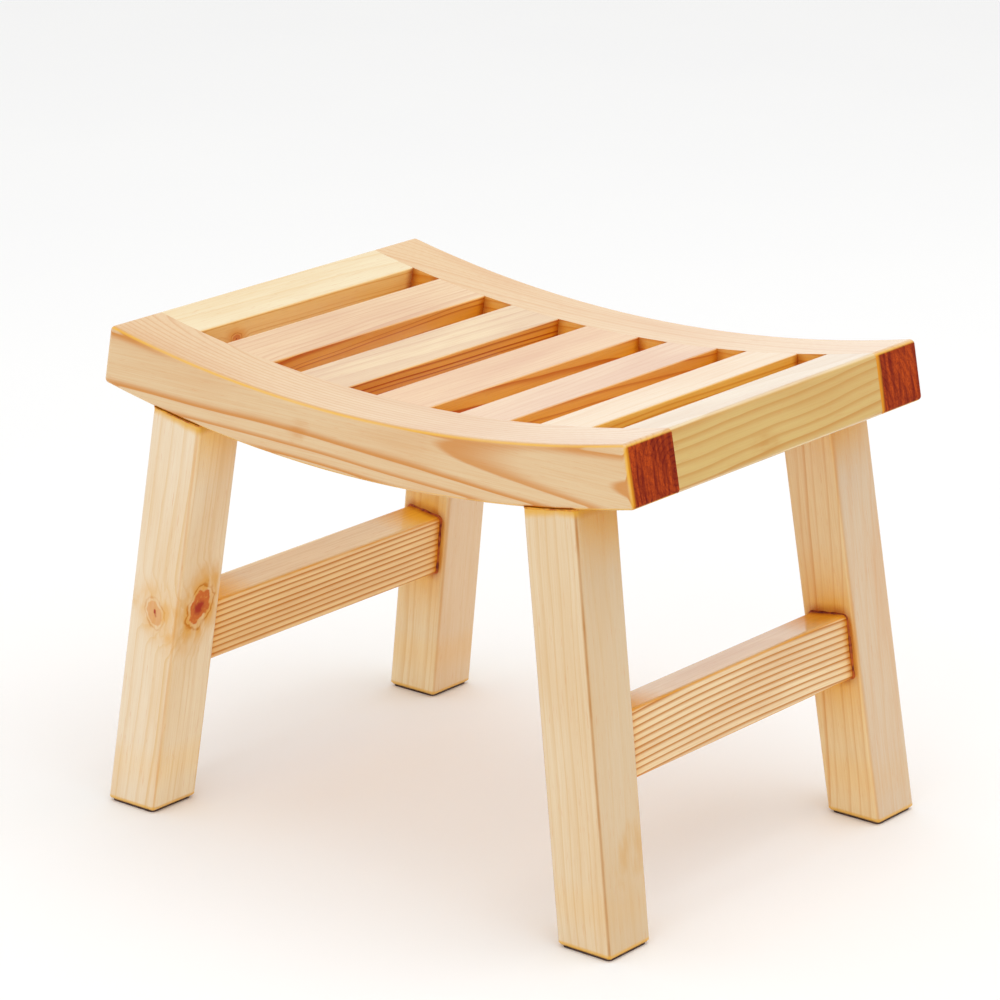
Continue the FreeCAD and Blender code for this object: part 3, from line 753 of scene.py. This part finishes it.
def outline(node, direction):
    """The longest closed line round the end of a node that faces a direction, as points in order."""
    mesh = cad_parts[node].data
    facing = [p for p in mesh.polygons if p.normal.dot(direction) > END_SQUARE]
    reach = max(p.center.dot(direction) for p in facing)
    facing = [p for p in facing if p.center.dot(direction) > reach - END_DEPTH]
    used = {}
    for polygon in facing:
        for pair in polygon.edge_keys:
            used[pair] = used.get(pair, 0) + 1
    after = {}
    for pair in (pair for pair, count in used.items() if count == 1):
        for here, there in (pair, pair[::-1]):
            after.setdefault(here, []).append(there)
    loops = []
    left = set(after)
    while left:
        loop = [min(left)]
        left.discard(loop[0])
        ways = [n for n in after[loop[-1]] if n in left]
        while ways:
            loop.append(ways[0])
            left.discard(ways[0])
            ways = [n for n in after[loop[-1]] if n in left]
        loops.append([mesh.vertices[index].co.copy() for index in loop])
    return max(loops, key=lambda loop: sum((a - b).length for a, b in zip(loop, loop[1:] + loop[:1])))


def even_points(loop, spacing):
    """A closed line's points again, at even steps."""
    points = []
    for here, there in zip(loop, loop[1:] + loop[:1]):
        count = max(1, round((there - here).length / spacing))
        points += [here.lerp(there, step / count) for step in range(count)]
    return points


def make_bead(name, node, direction, radius, lift):
    """A thin uneven bead round a board's end, where it meets its neighbour, at a given lift off that end."""
    points = even_points(outline(node, direction), BEAD_STEP)
    vertices = []
    for index, point in enumerate(points):
        along = (points[(index + 1) % len(points)] - points[index - 1]).normalized()
        out = along.cross(direction).normalized()
        centre = point + lift * direction
        thick = radius * (1.0 + BEAD_UNEVEN * noise.noise(centre * BEAD_LUMPS))
        for turn in range(BEAD_SIDES):
            angle = 2 * math.pi * turn / BEAD_SIDES
            vertices.append(centre + thick * (out * math.cos(angle) + direction * math.sin(angle)))
    faces = []
    for index in range(len(points)):
        first = index * BEAD_SIDES
        second = (index + 1) % len(points) * BEAD_SIDES
        for turn in range(BEAD_SIDES):
            following = (turn + 1) % BEAD_SIDES
            faces.append((first + turn, second + turn, second + following, first + following))
    mesh = bpy.data.meshes.new(name)
    mesh.from_pydata(vertices, [], faces)
    mesh.validate()
    built = bmesh.new()
    built.from_mesh(mesh)
    bmesh.ops.recalc_face_normals(built, faces=built.faces)
    built.to_mesh(mesh)
    built.free()
    mesh.shade_smooth()
    bead = bpy.data.objects.new(name, mesh)
    bpy.context.scene.collection.objects.link(bead)
    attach(bead, "root")
    return bead


def make_beads():
    """The joints' squeeze-out: at both ends of each stretcher, and round the top of each leg."""
    glue = resin("glue_bead", GLUE_COLOURS)
    varnish = resin("varnish_bead", VARNISH_COLOURS)
    up = Vector((0, 0, 1))
    for side in ("left", "right"):
        stretcher = "stretcher_" + side
        for end, outward in (("front", Vector((0, -1, 0))), ("rear", Vector((0, 1, 0)))):
            name = "bead_%s_%s" % (stretcher, end)
            bead = make_bead(name, stretcher, outward, STRETCHER_BEAD, 0.0)
            bead.data.materials.append(glue)
        for end in ("front", "rear"):
            leg = "leg_%s_%s" % (end, side)
            bead = make_bead("bead_" + leg, leg, up, LEG_BEAD, LEG_BEAD_LIFT)
            bead.data.materials.append(varnish)


def make_floor():
    """A pale floor, wide enough to fill every view."""
    mesh = bpy.data.meshes.new("floor")
    size = FLOOR_HALF_SIZE
    corners = [(-size, -size, 0), (size, -size, 0), (size, size, 0), (-size, size, 0)]
    mesh.from_pydata(corners, [], [(0, 1, 2, 3)])
    floor = bpy.data.objects.new("floor", mesh)
    bpy.context.scene.collection.objects.link(floor)
    floor.location.z = CAD_BOX[0].z - FLOOR_DROP
    material, shader = new_material("floor")
    mottle = shader.noise(shader.place(), scale=3.0, detail=3.0)[0]
    shader.surface({
        "Base Color": shader.mix(mottle, *FLOOR_COLOURS),
        "Roughness": 0.9,
        "Specular IOR Level": 0.1,
    })
    mesh.materials.append(material)


def make_world():
    """White studio light from all round, brightest near the horizon, as off pale walls."""
    world = bpy.data.worlds.new("studio")
    bpy.context.scene.world = world
    world.use_nodes = True
    world.node_tree.nodes.clear()
    shader = Shader(world.node_tree)
    height = shader.parts(shader.add("ShaderNodeTexCoord").outputs["Generated"])[2]
    strength = shader.step(height, 0.1, 0.75, HORIZON_LIGHT, ZENITH_LIGHT)
    background = shader.add("ShaderNodeBackground", {"Color": WHITE, "Strength": strength})
    shader.add("ShaderNodeOutputWorld", {"Surface": background.outputs[0]})


def make_lights(centre):
    """Square softboxes, turned to the stool's middle."""
    for name, (offset, size, power) in SOFTBOXES.items():
        light = bpy.data.lights.new(name, "AREA")
        light.shape = "SQUARE"
        light.size = size
        light.energy = power
        lamp = bpy.data.objects.new(name, light)
        bpy.context.scene.collection.objects.link(lamp)
        place = centre + offset
        lamp.location = place
        lamp.visible_camera = False
        lamp.rotation_mode = "QUATERNION"
        lamp.rotation_quaternion = (centre - place).to_track_quat("-Z", "Y")


def make_camera(centre):
    """A long lens at the photograph's viewing angle."""
    azimuth = math.radians(CAMERA_AZIMUTH)
    elevation = math.radians(CAMERA_ELEVATION)
    back = Vector((
        math.sin(azimuth) * math.cos(elevation),
        -math.cos(azimuth) * math.cos(elevation),
        math.sin(elevation),
    ))
    lens = bpy.data.cameras.new("camera")
    lens.lens = CAMERA_LENS
    lens.sensor_width = SENSOR_WIDTH
    lens.clip_end = CAMERA_CLIP_END
    camera = bpy.data.objects.new("camera", lens)
    bpy.context.scene.collection.objects.link(camera)
    camera.location = centre + CAMERA_AIM + back * CAMERA_DISTANCE
    camera.rotation_mode = "QUATERNION"
    camera.rotation_quaternion = (-back).to_track_quat("-Z", "Y")
    bpy.context.scene.camera = camera


stool_middle = middle(CAD_BOX)
dress_nodes()
make_beads()
make_floor()
make_world()
make_lights(stool_middle)
make_camera(stool_middle)
bpy.context.scene.view_settings.view_transform = "Standard"
